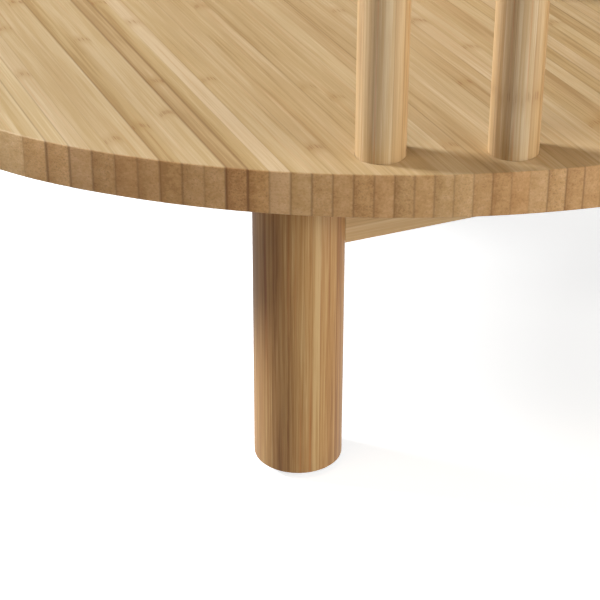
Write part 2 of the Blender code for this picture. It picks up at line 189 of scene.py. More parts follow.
legFinish = {
    "stripWidth": 0.0018,
    "firstStrip": -0.0113,
    "colours": [screen(150, 107, 62), screen(175, 134, 83), screen(188, 152, 100), screen(204, 175, 127)],
    # the tones are partly the bamboo's own, with the pale stripe, and partly painted light: the middle strips
    # are made lighter to stand in for front light that the lamps don't give
    "strips": [
        (0.40, 0.95, 0.4, 0.3), (0.54, 0.95, 0.4, 0.4), (0.50, 0.95, 0.5, 0.5), (0.34, 0.95, 0.4, 0.2),
        (0.56, 0.95, 0.4, 0.4), (0.56, 0.95, 0.5, 0.7), (0.66, 0.95, 0.4, 0.3), (0.72, 0.95, 0.2, 0.5),
        (1.00, 0.95, 0.5, 0.6), (0.62, 0.95, 0.4, 0.5), (0.48, 0.95, 0.7, 0.4), (0.30, 0.95, 0.6, 0.7),
        (0.30, 0.95, 0.2, 0.4),
    ],
    "knuckleSpacing": 0.24,
    "knuckleStart": -0.122,
    "knuckle": 0.7,
    "bundles": 0.26,
    "fibres": 0.50,
    "drift": 0.4,
    "streaks": 2.2,
    "spread": 0.4,
    "endColour": (0.9, 0.74, 0.6),
    "roughness": 0.44,
    "lacquer": 0.42,
    "seams": 0.4,
}

spindleFinish = {
    "stripWidth": 0.0021,
    "firstStrip": -0.0063,
    "colours": [screen(178, 145, 103), screen(200, 170, 126), screen(211, 185, 142), screen(224, 205, 170)],
    # the tones are partly the bamboo's own and partly painted light: seen from the front, the middle strips
    # are made lighter and the right-hand strips darker, standing in for how the lamps fall across the spindle
    "strips": [
        (0.40, 0.9, 0.4, 0.2), (0.62, 0.9, 0.3, 0.3), (0.82, 0.9, 0.3, 0.6),
        (0.88, 0.9, 0.4, 0.3), (0.46, 0.9, 0.5, 0.5), (0.28, 0.9, 0.6, 0.5),
    ],
    "knuckleSpacing": 0.26,
    "knuckleStart": -0.122,
    "knuckle": 0.6,
    "bundles": 0.18,
    "fibres": 0.36,
    "drift": 0.4,
    "streaks": 1.6,
    "spread": 0.4,
    "endColour": (0.9, 0.76, 0.62),
    "roughness": 0.38,
    "lacquer": 0.6,
    "seams": 0.3,
}

railFinish = {
    "stripWidth": 0.0053,
    "firstStrip": -0.0080,
    "colours": [screen(184, 150, 104), screen(204, 173, 127), screen(214, 188, 145), screen(222, 200, 162)],
    "strips": [(0.55, 0.9, 0.4, 0.2), (0.45, 0.9, 0.5, 0.4), (0.60, 0.9, 0.5, 0.3)],
    "knuckleSpacing": 0.23,
    "knuckleStart": -0.122,
    "knuckle": 0.8,
    "bundles": 0.12,
    "fibres": 0.26,
    "drift": 0.5,
    "streaks": 1.5,
    "spread": 0.4,
    "endColour": (0.9, 0.76, 0.62),
    "roughness": 0.5,
    "lacquer": 0.42,
    "seams": 0.3,
}


# how often each kind of mark comes, per metre, across the grain and along it
grainMarks = {"drift": (420, 26), "streaks": (1700, 30), "hairs": (4600, 36), "bundles": (1250, 11)}

seamBrown = (*screen(120, 82, 48), 1.0)
smudgeBrown = (*screen(170, 134, 80), 1.0)
tickBrown = (*screen(150, 96, 62), 1.0)
dotBrown = (*screen(122, 84, 50), 1.0)
borderBrown = (*screen(112, 76, 46), 1.0)
goldenTint = (1.0, 0.985, 0.87, 1.0)
rosyTint = (1.0, 0.955, 0.93, 1.0)
ruddyTint = (1.0, 0.90, 0.82, 1.0)
sideTint = (0.74, 0.68, 0.60, 1.0)


def bambooMaterial(name, finish):
    material, start, shader = newMaterial(name)
    grain = start.node("ShaderNodeAttribute", {"attribute_name": "grain"}, out="Vector")
    endGrain = start.node("ShaderNodeAttribute", {"attribute_name": "endGrain"}, out="Fac").ramp(0.3, 0.7)
    across, _, along = grain.split()

    # which strip, and how far across it
    place = (across - finish["firstStrip"]) / finish["stripWidth"]
    strip = place.floor()
    within = place - strip
    count = len(finish["strips"])
    stops = {"interpolation": "CONSTANT",
             "colours": [(number / count, values) for number, values in enumerate(finish["strips"])]}
    inList = start.math("COMPARE", strip + 0.5, count / 2, count / 2)
    # on the legs and spindles the listed tones include painted light as well as the bamboo's own tone
    listed = start.node("ShaderNodeValToRGB", {"stops": stops}, {0: (strip + 0.5) / count})
    ownSeam = start.node("ShaderNodeValToRGB", {"stops": stops}, {0: (strip + 0.5) / count}, out="Alpha")
    oneDimension = {"noise_dimensions": "1D"}
    chance = start.node("ShaderNodeTexWhiteNoise", oneDimension, {"W": strip + 0.37}, out="Color")
    chanceTone, chancePlace, chanceYellow = chance.split()
    calmTone = chanceTone * finish["spread"] + (0.5 - finish["spread"] / 2)
    calm = start.node("ShaderNodeCombineXYZ", sockets={"X": calmTone, "Y": chancePlace, "Z": chanceYellow})
    tone, knucklePlace, yellow = calm.blend(listed, inList).split()

    # noise that is long along the grain, and different in each strip
    ownPlace = start.node("ShaderNodeCombineXYZ", sockets={"Y": strip * 0.0173, "Z": strip * 0.091})
    own = grain.shifted(ownPlace)
    drift = start.node("ShaderNodeTexNoise", {}, {
        "Vector": own.stretch(*grainMarks["drift"]), "Scale": 1.0, "Detail": 2.0})
    streaks = start.node("ShaderNodeTexNoise", {}, {
        "Vector": own.stretch(*grainMarks["streaks"]), "Scale": 1.0, "Detail": 4.0, "Roughness": 0.62})
    hairs = start.node("ShaderNodeTexNoise", {}, {
        "Vector": own.stretch(*grainMarks["hairs"]), "Scale": 1.0, "Detail": 2.0})
    cells = start.node("ShaderNodeTexVoronoi", {}, {
        "Vector": own.stretch(*grainMarks["bundles"]), "Scale": 1.0})
    bundle = cells.ramp(0.34, 0.12)
    dashes = hairs.ramp(0.54, 0.68) * streaks.ramp(0.45, 0.62)

    # each strip is denser, and darker, towards one side, most of all beside a dark seam
    lean = (within - 0.5) * (yellow - 0.5)
    even = tone + lean * 0.6 - within.ramp(0.5, 0.0) * ownSeam * inList * 0.3
    level = even + (drift - 0.5) * finish["drift"] + (streaks - 0.5) * finish["streaks"]
    pale, light, mid, dark = reversed(finish["colours"])
    shades = {"interpolation": "EASE",
              "colours": [(0.05, dark), (0.4, mid), (0.7, light), (1.0, pale)]}
    colour = start.node("ShaderNodeValToRGB", {"stops": shades}, {0: level})
    golden = colour.blend(goldenTint, (yellow - 0.35) * 0.9, "MULTIPLY")
    rosy = golden.blend(rosyTint, (0.45 - yellow) * 1.6, "MULTIPLY")

    # fine fibres, and the bundles between them
    shadeOfFibre = 1 - (hairs - 0.5).size() * finish["fibres"] * 0.8 - dashes * finish["fibres"] * 0.8
    shadeOfBundle = 1 - bundle * finish["bundles"]
    fibreTint = start.node("ShaderNodeCombineColor", sockets={
        "Red": shadeOfFibre * 0.4 + 0.6, "Green": shadeOfFibre * shadeOfBundle * 0.75 + 0.25,
        "Blue": shadeOfFibre * shadeOfBundle})
    woven = rosy.blend(fibreTint, 1.0, "MULTIPLY")

    # the seams between strips: most can hardly be seen, and a few are dark
    nearest = (place + 0.5).floor()
    seamChance = start.node("ShaderNodeTexWhiteNoise", oneDimension, {"W": nearest * 1.31 + 5.2})
    listedSeam = start.node("ShaderNodeValToRGB", {"stops": stops}, {0: (nearest + 0.5) / count}, out="Alpha")
    depthOfSeam = seamChance * (1 - inList) * 0.7 + listedSeam * inList
    seam = (place - nearest).size() / (depthOfSeam * 0.10 + 0.02)
    wander = streaks.ramp(0.25, 0.6) * 0.5 + 0.5
    seamMark = seam.ramp(1.0, 0.1) * depthOfSeam * wander * finish["seams"]
    seamed = woven.blend(seamBrown, seamMark)

    # a knuckle: an arched smudge with short red-brown ticks in it
    spacing = finish["knuckleSpacing"]
    run = along - finish["knuckleStart"] - knucklePlace * spacing
    arch = (within - 0.5) * (within - 0.5) * 0.005 + (drift - 0.5) * 0.003
    wrapped = start.math("WRAP", run + arch, -spacing / 2, spacing / 2)
    patchy = streaks.ramp(0.3, 0.65)
    smudge = wrapped.size().ramp(0.0046, 0.0004) * patchy * finish["knuckle"]
    ticks = wrapped.size().ramp(0.0015, 0.0004) * hairs.ramp(0.50, 0.60) * finish["knuckle"]
    smudged = seamed.blend(smudgeBrown, smudge * 0.5)
    ticked = smudged.blend(tickBrown, ticks * 0.6)

    # cut across the grain each strip has its own hue, a dark side and a dark border, and bundles are dots
    specks = start.node("ShaderNodeTexNoise", {}, {"Vector": own, "Scale": 2600.0, "Detail": 3.0})
    dots = bundle * streaks.ramp(0.35, 0.7)
    cut = ticked.blend((*finish["endColour"], 1.0), 1.0, "MULTIPLY")
    ruddy = cut.blend(ruddyTint, chancePlace, "MULTIPLY")
    sided = ruddy.blend(sideTint, within.ramp(0.7, 0.0) * chanceTone * 0.6, "MULTIPLY")
    border = (place - nearest).size().ramp(0.10, 0.01) * seamChance * 0.42
    cutDots = sided.blend(dotBrown, dots * 0.3 + specks.ramp(0.5, 0.72) * chanceYellow * 0.4)
    bordered = cutDots.blend(borderBrown, border)
    final = ticked.blend(bordered, endGrain)

    start.feed(shader.inputs["Base Color"], final)
    start.feed(shader.inputs["Roughness"], (hairs - 0.5) * 0.16 + (endGrain * 0.12 + finish["roughness"]))
    height = hairs * 0.5 + streaks * 0.5 - seamMark * 0.8 - bundle * 0.3
    bump = start.node("ShaderNodeBump", {}, {"Strength": 0.22, "Distance": 0.00015, "Height": height})
    start.feed(shader.inputs["Normal"], bump)
    shader.inputs["Specular IOR Level"].default_value = finish["lacquer"]
    return material


def steelMaterial():
    material, start, shader = newMaterial("zincSteel")
    place = start.node("ShaderNodeTexCoord", out="Object")
    cloud = start.node("ShaderNodeTexNoise", {}, {"Vector": place, "Scale": 900.0, "Detail": 3.0})
    colour = start.node("ShaderNodeValToRGB", {"stops": {"interpolation": "LINEAR", "colours": [
        (0.3, screen(150, 150, 154)), (0.7, screen(196, 197, 202))]}}, {0: cloud})
    start.feed(shader.inputs["Base Color"], colour)
    start.feed(shader.inputs["Roughness"], cloud * 0.3 + 0.18)
    shader.inputs["Metallic"].default_value = 1.0
    return material


def rubberMaterial():
    material, start, shader = newMaterial("padRubber")
    place = start.node("ShaderNodeTexCoord", out="Object")
    grit = start.node("ShaderNodeTexNoise", {}, {"Vector": place, "Scale": 2600.0, "Detail": 4.0})
    colour = start.node("ShaderNodeValToRGB", {"stops": {"interpolation": "LINEAR", "colours": [
        (0.35, screen(44, 42, 40)), (0.7, screen(74, 71, 68))]}}, {0: grit})
    bump = start.node("ShaderNodeBump", {}, {"Strength": 0.3, "Distance": 0.0001, "Height": grit})
    start.feed(shader.inputs["Base Color"], colour)
    start.feed(shader.inputs["Roughness"], grit * 0.2 + 0.68)
    start.feed(shader.inputs["Normal"], bump)
    return material


trayBamboo = bambooMaterial("trayBamboo", trayFinish)
legBamboo = bambooMaterial("legBamboo", legFinish)
spindleBamboo = bambooMaterial("spindleBamboo", spindleFinish)
railBamboo = bambooMaterial("railBamboo", railFinish)
zincSteel = steelMaterial()
padRubber = rubberMaterial()
print("materials made")


# shapes

def linked(name, mesh):
    thing = bpy.data.objects.new(name, mesh)
    bpy.context.scene.collection.objects.link(thing)
    return thing


def meshFrom(name, build):
    bm = bmesh.new()
    build(bm)
    mesh = bpy.data.meshes.new(name)
    bm.to_mesh(mesh)
    bm.free()
    return mesh


# the evaluated mesh of an object, which is then taken away
def settled(thing, name):
    graph = bpy.context.evaluated_depsgraph_get()
    mesh = bpy.data.meshes.new_from_object(thing.evaluated_get(graph))
    mesh.name = name
    bpy.data.objects.remove(thing, do_unlink=True)
    return mesh


def carved(mesh, tool, operation="DIFFERENCE"):
    body = linked("body", mesh)
    cutter = linked("cutter", tool)
    boolean = body.modifiers.new("carve", "BOOLEAN")
    boolean.operation = operation
    boolean.object = cutter
    boolean.solver = "EXACT"
    result = settled(body, mesh.name)
    bpy.data.objects.remove(cutter, do_unlink=True)
    return result


def addRod(bm, radius, start, end, steps=48, endRadius=None):
    run = end - start
    turn = up.rotation_difference(run).to_matrix().to_4x4()
    bmesh.ops.create_cone(bm, cap_ends=True, segments=steps, radius1=radius,
                          radius2=radius if endRadius is None else endRadius, depth=run.length,
                          matrix=Matrix.Translation((start + end) / 2) @ turn)


def addBox(bm, size, centre):
    bmesh.ops.create_cube(bm, size=1.0, matrix=Matrix.Translation(centre) @ Matrix.Diagonal((*size, 1.0)))


# a quarter round for a profile, from one angle to another, as (radius, height)
def rounded(radius, height, size, first, last, steps=4):
    for step in range(steps + 1):
        angle = first + (last - first) * step / steps
        yield radius + size * math.cos(angle), height + size * math.sin(angle)


def turned(name, profile, steps=64):
    mesh = bpy.data.meshes.new(name)
    points = [(radius, 0, height) for radius, height in profile]
    mesh.from_pydata(points, [(number, number + 1) for number in range(len(points) - 1)], [])
    thing = linked(name, mesh)
    screw = thing.modifiers.new("turn", "SCREW")
    screw.angle = math.tau
    screw.steps = steps
    screw.render_steps = steps
    screw.use_merge_vertices = True
    screw.merge_threshold = 0.000001
    return settled(thing, name)


# the grain's own coordinates: x across the strips, y through them and z along the fibres
def markGrain(mesh, across, along, shift=(0, 0, 0)):
    through = along.cross(across)
    grain = mesh.attributes.new("grain", "FLOAT_VECTOR", "POINT")
    for vertex, mark in zip(mesh.vertices, grain.data):
        place = vertex.co
        mark.vector = Vector((place.dot(across), place.dot(through), place.dot(along))) + Vector(shift)
    ends = mesh.attributes.new("endGrain", "FLOAT", "FACE")
    for face, mark in zip(mesh.polygons, ends.data):
        mark.value = abs(face.normal.dot(along))


def finishPiece(name, mesh, material, nodes, place=None):
    if place is not None:
        mesh.transform(place)
    mesh.materials.clear()
    mesh.materials.append(material)
    mesh.shade_smooth()
    mesh.set_sharp_from_angle(angle=math.radians(32))
    piece = linked(name, mesh)
    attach(piece, "root")
    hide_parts(*nodes)
    return piece


# the plan of the tray and the galleries, set out from the frame

plan = {
    "arcRadius": 0.1792,
    "arcSweep": math.radians(48),
    "spindleInset": 0.0052,
    "spindleRadius": 0.00555,
    "spindleStep": math.radians(9.8),
    "spindlesInRow": 6,
    "stripTurn": -23.5,             # of the strips in the first spindle and the front left leg
    "roll": 0.1,                    # from one spindle to the next
    "socketDepth": 0.006,
    "endGap": 0.0002,               # room at the end of a tenon or dowel
    "fit": 0.00006,                 # play round a glued joint
    "screwFit": 0.0001,             # play round a screw
    "arris": 0.0004,                # the softened edge of a dowel's end
    "past": 0.002,                  # how far a cutter goes beyond the face that it cuts
}
arcCentre = trayLow.y + plan["arcRadius"]         # of the front arc, along y
halfWidth = trayHigh.x
endRadius = (halfWidth - plan["arcRadius"] * math.sin(plan["arcSweep"])) / (1 - math.sin(plan["arcSweep"]))
endCentre = halfWidth - endRadius
spindleCircle = plan["arcRadius"] - plan["spindleInset"] - plan["spindleRadius"]
legPlaces = {}
for side in ("front_left", "front_right", "back_right", "back_left"):
    low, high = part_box("leg_" + side)
    legPlaces[side] = Vector(((low.x + high.x) / 2, (low.y + high.y) / 2, 0))
legOffset = legPlaces["front_right"].x


def onCircle(radius, angle, height=0.0):
    return Vector((radius * math.cos(angle), radius * math.sin(angle), height))


def arc(centre, radius, start, end, steps):
    return [centre + onCircle(radius, start + (end - start) * step / steps) for step in range(steps + 1)]


# a flat piece from its outline, with rounded edges, made by stacking shrunken outlines
def slab(name, points, low, high, arris, steps=4):
    count = len(points)
    normals = []
    for number in range(count):
        run = points[(number + 1) % count] - points[number - 1]
        normals.append(Vector((run.y, -run.x, 0)).normalized())
    levels = [(arris * (1 - math.sin(turn)), high - arris * (1 - math.cos(turn)))
              for turn in (math.pi / 2 * step / steps for step in range(steps + 1))]
    levels += [(inset, low + high - height) for inset, height in reversed(levels)]

    def build(bm):
        rings = []
        for inset, height in levels:
            rings.append([bm.verts.new(point - normal * inset + up * height)
                          for point, normal in zip(points, normals)])
        for upper, lower in zip(rings, rings[1:]):
            for number in range(count):
                after = (number + 1) % count
                bm.faces.new((upper[number], lower[number], lower[after], upper[after]))
        bm.faces.new(rings[0])
        bm.faces.new(reversed(rings[-1]))

    return meshFrom(name, build)


trayPlan = {"arris": 0.00045, "boltBore": 0.0033}


def trayOutline():
    sweep = plan["arcSweep"]
    endSweep = math.pi / 2 - sweep
    points = []
    for half in (0, math.pi):
        middle = half - math.pi / 2
        long = arc(onCircle(-arcCentre, middle), plan["arcRadius"], middle - sweep, middle + sweep, 96)
        end = arc(onCircle(endCentre, half), endRadius, half - endSweep, half + endSweep, 80)
        points += long[:-1] + end[:-1]
    return points


def spindleCentres():
    half = (plan["spindlesInRow"] - 1) / 2
    for turn in (-math.pi / 2, math.pi / 2):
        for number in range(plan["spindlesInRow"]):
            angle = turn + (number - half) * plan["spindleStep"]
            yield onCircle(-arcCentre, turn) + onCircle(spindleCircle, angle)


screwPlan = {
    "offset": 0.045,                # from the middle of the rail
    "count": 4,
    "radius": 0.0016,
    "headRadius": 0.0035,
    "headHeight": 0.0022,
    "sunk": 0.0004,                 # the head's face, above the rail's lower face
    "length": 0.020,
    "threadPitch": 0.0013,
    "threadDepth": 0.00035,
    "plainLength": 0.008,
    "tipLength": 0.003,
    "slot": (0.0038, 0.0008, 0.0030),
}


def screwPlaces():
    for line in (-legOffset, legOffset):
        for side in (-1, 1):
            yield Vector((side * screwPlan["offset"], line, 0))


def makeTray():
    mesh = slab("trayBoard", trayOutline(), trayLow.z, trayHigh.z, trayPlan["arris"])
    fit = plan["fit"]
    above, below = up * (trayHigh.z + plan["past"]), up * (trayLow.z - plan["past"])
    screwEnd = up * (railLow.z + screwPlan["sunk"] + screwPlan["length"] + plan["screwFit"])

    def sockets(bm):
        for centre in spindleCentres():
            floor = up * (trayHigh.z - plan["socketDepth"])
            addRod(bm, plan["spindleRadius"] + fit, centre + floor, centre + above)
        for centre in legPlaces.values():
            roof = up * (trayLow.z + plan["socketDepth"])
            addRod(bm, legPlan["tenonRadius"] + fit, centre + below, centre + roof)
        for centre in screwPlaces():
            addRod(bm, screwPlan["radius"] + plan["screwFit"], centre + below, centre + screwEnd, steps=24)

    def seat(bm):
        addRod(bm, trunkHigh.x + fit, up * trunkLow.z, above, steps=64)

    def hole(bm):
        addRod(bm, trayPlan["boltBore"], below, above, steps=32)

    for build in (sockets, seat, hole):
        mesh = carved(mesh, meshFrom("tool", build))
    markGrain(mesh, Vector((1, 0, 0)), Vector((0, 1, 0)))
    finishPiece("trayBoard", mesh, trayBamboo, ["base_board"])


# the legs' strips are turned to their own ways, and the first leg shows the listed ones
legPlan = {
    "radius": 0.01035,
    "tenonRadius": 0.0065,
    "shoulderGap": 0.0001,
    "padRadius": 0.0073,            # of the recess for the foot pad
    "padTop": 0.0023,
    "mortiseStart": 0.0046,
    "mortiseWidth": 0.0052,
    "mortiseShoulder": 0.0019,
    "turns": {
        "front_left": (plan["stripTurn"], (0, 0, 0)),
        "front_right": (70, (0.21, 0.1, 0.4)),
        "back_right": (130, (0.43, 0.3, 0.9)),
        "back_left": (200, (0.67, 0.2, 1.7)),
    },
}


def makeLegs():
    radius, arris = legPlan["radius"], plan["arris"]
    shoulder = trayLow.z - legPlan["shoulderGap"]
    top = trayLow.z + plan["socketDepth"] - plan["endGap"]
    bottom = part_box("leg_front_left")[0].z
    profile = [(0, top), (legPlan["tenonRadius"] - arris, top)]
    profile += rounded(legPlan["tenonRadius"] - arris, top - arris, arris, math.pi / 2, 0, 3)
    profile += [(legPlan["tenonRadius"], shoulder), (radius - arris, shoulder)]
    profile += rounded(radius - arris, shoulder - arris, arris, math.pi / 2, 0, 3)
    profile += rounded(radius - arris, bottom + arris, arris, 0, -math.pi / 2, 3)
    profile += [(legPlan["padRadius"], bottom), (legPlan["padRadius"], legPlan["padTop"])]
    profile += [(0, legPlan["padTop"])]
    profile = [point for number, point in enumerate(profile) if point not in profile[:number]]
    plain = turned("leg", profile, 96)
    railMiddle = (railLow.z + railHigh.z) / 2
    tall = railHigh.z - railLow.z - 2 * legPlan["mortiseShoulder"]

    def mortise(bm):
        reach = 2 * radius
        middle = legPlan["mortiseStart"] + reach / 2
        addBox(bm, (reach, legPlan["mortiseWidth"], tall), (middle, 0, railMiddle))

    plain = carved(plain, meshFrom("tool", mortise))
    for side, centre in legPlaces.items():
        mesh = plain.copy()
        if centre.x > 0:
            mesh.transform(Matrix.Rotation(math.pi, 4, "Z"))
        angle, shift = legPlan["turns"][side]
        markGrain(mesh, onCircle(1, math.radians(angle)), up, shift)
        name = "leg" + side.title().replace("_", "")
        finishPiece(name, mesh, legBamboo, ["leg_" + side], Matrix.Translation(centre))


padPlan = {"arris": 0.0003, "grooveDepth": 0.0003, "grooveSide": 0.0002, "grooveWidth": 0.0008}


def makePads():
    low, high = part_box("foot_pad_front_left")
    radius = (high.x - low.x) / 2
    arris, side = padPlan["arris"], padPlan["grooveSide"]
    outer = radius * 0.7
    inner = outer - padPlan["grooveWidth"]
    roof = low.z + padPlan["grooveDepth"]
    profile = [(0, high.z), (radius, high.z)]
    profile += rounded(radius - arris, low.z + arris, arris, 0, -math.pi / 2, 3)
    profile += [(outer, low.z), (outer - side, roof), (inner + side, roof), (inner, low.z), (0, low.z)]
    plain = turned("footPad", profile, 64)
    for side, centre in legPlaces.items():
        name = "footPad" + side.title().replace("_", "")
        place = Matrix.Translation(centre)
        finishPiece(name, plain.copy(), padRubber, ["foot_pad_" + side], place)


railPlan = {
    "thickness": 0.010,
    "arris": 0.0006,
    "tenonThickness": 0.005,
    "tenonShoulder": 0.0020,
    "tenonStart": 0.0048,           # from the leg's axis
    "past": 0.01,
}


def makeRails():
    tall = railHigh.z - railLow.z
    middle = Vector((0, 0, (railLow.z + railHigh.z) / 2))
    barSize = (2 * legOffset, railPlan["thickness"], tall)
    bar = linked("bar", meshFrom("bar", lambda bm: addBox(bm, barSize, middle)))
    soften = bar.modifiers.new("soften", "BEVEL")
    soften.width = railPlan["arris"]
    soften.segments = 3
    mesh = settled(bar, "rail")

    def copes(bm):
        for side in (-legOffset, legOffset):
            centre = Vector((side, 0, 0))
            addRod(bm, legPlan["radius"] + plan["fit"], centre, centre + up * 2 * railHigh.z, steps=96)

    def tenons(bm):
        addBox(bm, (2 * (legOffset - railPlan["tenonStart"]), railPlan["tenonThickness"],
                    tall - 2 * railPlan["tenonShoulder"]), middle)

    def holes(bm):
        for side in (-screwPlan["offset"], screwPlan["offset"]):
            bottom = Vector((side, 0, railLow.z - railPlan["past"]))
            top = Vector((side, 0, railHigh.z + railPlan["past"]))
            addRod(bm, screwPlan["radius"] + plan["screwFit"], bottom, top, steps=24)

    def countersinks(bm):
        wide = screwPlan["headRadius"] + plan["screwFit"]
        flare = (wide - screwPlan["radius"]) / screwPlan["headHeight"]
        for side in (-screwPlan["offset"], screwPlan["offset"]):
            top = Vector((side, 0, railLow.z + screwPlan["sunk"] + screwPlan["headHeight"]))
            mouth = top - up * (screwPlan["headHeight"] + plan["past"])
            addRod(bm, wide + flare * plan["past"], mouth, top, 32, screwPlan["radius"])

    mesh = carved(mesh, meshFrom("tool", copes))
    mesh = carved(mesh, meshFrom("tool", tenons), "UNION")
    mesh = carved(mesh, meshFrom("tool", holes))
    plain = carved(mesh, meshFrom("tool", countersinks))
    for number, side in enumerate(("Front", "Back")):
        mesh = plain.copy()
        markGrain(mesh, up, Vector((1, 0, 0)), (-middle.z + number * 0.37, number * 0.13, number * 0.61))
        place = Matrix.Rotation(number * math.pi, 4, "Z") @ Matrix.Translation((0, -legOffset, 0))
        finishPiece("rail" + side, mesh, railBamboo, ["rail_" + side.lower()], place)


capPlan = {"width": 0.016, "overhang": 0.011, "arris": 0.0012}


def capOutline():
    half = capPlan["width"] / 2
    last = plan["spindleStep"] * (plan["spindlesInRow"] - 1) / 2
    sweep = last + (capPlan["overhang"] - half) / spindleCircle
    points = arc(Vector(), spindleCircle + half, -sweep, sweep, 64)
    points += arc(onCircle(spindleCircle, sweep), half, sweep, sweep + math.pi, 24)[1:-1]
    points += arc(Vector(), spindleCircle - half, sweep, -sweep, 64)
    points += arc(onCircle(spindleCircle, -sweep), half, math.pi - sweep, math.tau - sweep, 24)[1:-1]
    return points


def makeCapRails():
    mesh = slab("capRail", capOutline(), capLow.z, capHigh.z, capPlan["arris"])

    def sockets(bm):
        half = (plan["spindlesInRow"] - 1) / 2
        for number in range(plan["spindlesInRow"]):
            centre = onCircle(spindleCircle, (number - half) * plan["spindleStep"])
            bottom = centre + up * (capLow.z - plan["past"])
            roof = centre + up * (capLow.z + plan["socketDepth"])
            addRod(bm, plan["spindleRadius"] + plan["fit"], bottom, roof)

    plain = carved(mesh, meshFrom("tool", sockets))
    for number, side in enumerate(("Front", "Back")):
        mesh = plain.copy()
        markGrain(mesh, Vector((1, 0, 0)), Vector((0, 1, 0)), (0.4 + number * 0.31, 0, number * 0.8))
        turn = math.pi / 2 * (2 * number - 1)
        place = Matrix.Translation(onCircle(-arcCentre, turn)) @ Matrix.Rotation(turn, 4, "Z")
        node = "cap_rail_" + side.lower()
        finishPiece("capRail" + side, mesh, railBamboo, [node], place)


# rows of like pieces, by Geometry Nodes

# a tree that puts copies of one piece where placing(wire, inputs) says, each with its own stretch of grain
def rowTree(name, inputs, placing):
    tree = bpy.data.node_groups.new(name, "GeometryNodeTree")
    tree.interface.new_socket("Geometry", in_out="INPUT", socket_type="NodeSocketGeometry")
    tree.interface.new_socket("Geometry", in_out="OUTPUT", socket_type="NodeSocketGeometry")
    for label, kind in (("Piece", "Object"), ("Finish", "Material"), ("Seed", "Int"), *inputs):
        tree.interface.new_socket(label, in_out="INPUT", socket_type="NodeSocket" + kind)
    start = Wire(tree)
    entry = tree.nodes.new("NodeGroupInput")
    given = {socket.name: Wire(tree, socket) for socket in entry.outputs if socket.name}
    index = start.node("GeometryNodeInputIndex")
    position, rotation = placing(start, given, index)
    row = start.node("GeometryNodeMeshLine", {}, {"Count": given["Count"]})
    points = start.node("GeometryNodeSetPosition", {}, {"Geometry": row, "Position": position})
    piece = start.node("GeometryNodeObjectInfo", {}, {"Object": given["Piece"]}, out="Geometry")
    copies = start.node("GeometryNodeInstanceOnPoints", {},
                        {"Points": points, "Instance": piece, "Rotation": rotation})
    number = start.node("GeometryNodeInputIndex")
    vector = {"data_type": "FLOAT_VECTOR"}
    shift = start.node("FunctionNodeRandomValue", vector, {
        "Min": (0.0, 0.0, 0.0), "Max": (0.0, 0.5, 2.0), "ID": number, "Seed": given["Seed"]})
    marked = start.node("GeometryNodeStoreNamedAttribute", {**vector, "domain": "INSTANCE"},
                        {"Geometry": copies, "Name": "shift", "Value": shift})
    solid = start.node("GeometryNodeRealizeInstances", {}, {"Geometry": marked})
    grain = start.node("GeometryNodeInputNamedAttribute", vector, {"Name": "grain"})
    moved = start.node("GeometryNodeInputNamedAttribute", vector, {"Name": "shift"})
    grained = start.node("GeometryNodeStoreNamedAttribute", {**vector, "domain": "POINT"},
                         {"Geometry": solid, "Name": "grain", "Value": grain.shifted(moved)})
    clean = start.node("GeometryNodeRemoveAttribute", {}, {"Geometry": grained, "Name": "shift"})
    dressed = start.node("GeometryNodeSetMaterial", {}, {"Geometry": clean, "Material": given["Finish"]})
    leave = tree.nodes.new("NodeGroupOutput")
    tree.links.new(dressed.socket, leave.inputs[0])
    return tree


def makeRow(name, tree, values, pieceMesh, material, nodes):
    source = linked(name + "Source", pieceMesh)
    host = linked(name + "Host", bpy.data.meshes.new(name))
    row = host.modifiers.new("row", "NODES")
    row.node_group = tree
    inputs = [item for item in tree.interface.items_tree if item.in_out == "INPUT"]
    sockets = {item.name: item.identifier for item in inputs}
    for label, value in {"Piece": source, "Finish": material, **values}.items():
        row[sockets[label]] = value
    mesh = settled(host, name)
    bpy.data.objects.remove(source, do_unlink=True)
    return finishPiece(name, mesh, material, nodes)


def galleryPlacing(start, given, index):
    angle = (index - (given["Count"] - 1) / 2) * given["Step"]
    across = given["Circle"] * start.math("SINE", angle)
    forward = given["Centre"] - given["Circle"] * start.math("COSINE", angle)
    place = start.node("ShaderNodeCombineXYZ", sockets={"X": across, "Y": forward})
    swung = start.node("ShaderNodeVectorRotate", {"rotation_type": "Z_AXIS"},
                       {"Vector": place, "Angle": given["Turn"]})
    rolled = start.node("ShaderNodeCombineXYZ", sockets={"Z": index * given["Roll"] + given["Turn"]})
    return swung, start.node("FunctionNodeEulerToRotation", {}, {0: rolled})


def makeSpindles():
    radius, arris = plan["spindleRadius"], plan["arris"]
    low = trayHigh.z - plan["socketDepth"] + plan["endGap"]
    high = capLow.z + plan["socketDepth"] - plan["endGap"]
    profile = [(0, high)]
    profile += rounded(radius - arris, high - arris, arris, math.pi / 2, 0, 3)
    profile += rounded(radius - arris, low + arris, arris, 0, -math.pi / 2, 3)
    profile += [(0, low)]
    mesh = turned("spindle", profile, 64)
    markGrain(mesh, onCircle(1, math.radians(plan["stripTurn"])), up)
    inputs = [("Count", "Int")]
    inputs += [(label, "Float") for label in ("Step", "Circle", "Centre", "Turn", "Roll")]
    tree = rowTree("galleryRow", inputs, galleryPlacing)
    for side, turn, seed in (("Front", 0.0, 4), ("Back", math.pi, 9)):
        values = {"Seed": seed, "Count": plan["spindlesInRow"], "Step": plan["spindleStep"],
                  "Circle": spindleCircle, "Centre": arcCentre, "Turn": turn, "Roll": plan["roll"]}
        nodes = [f"spindle_{side.lower()}_{number + 1}" for number in range(plan["spindlesInRow"])]
        makeRow("spindles" + side, tree, values, mesh.copy(), spindleBamboo, nodes)


pegPlan = {
    "count": 8,
    "length": 0.084,
    "tilt": math.radians(22),
    "start": 0.0046,                # from the trunk's axis, along the peg
    "lowest": 0.115,                # above the tray
    "levelStep": 0.047,
    "tipRounding": 0.0032,
}


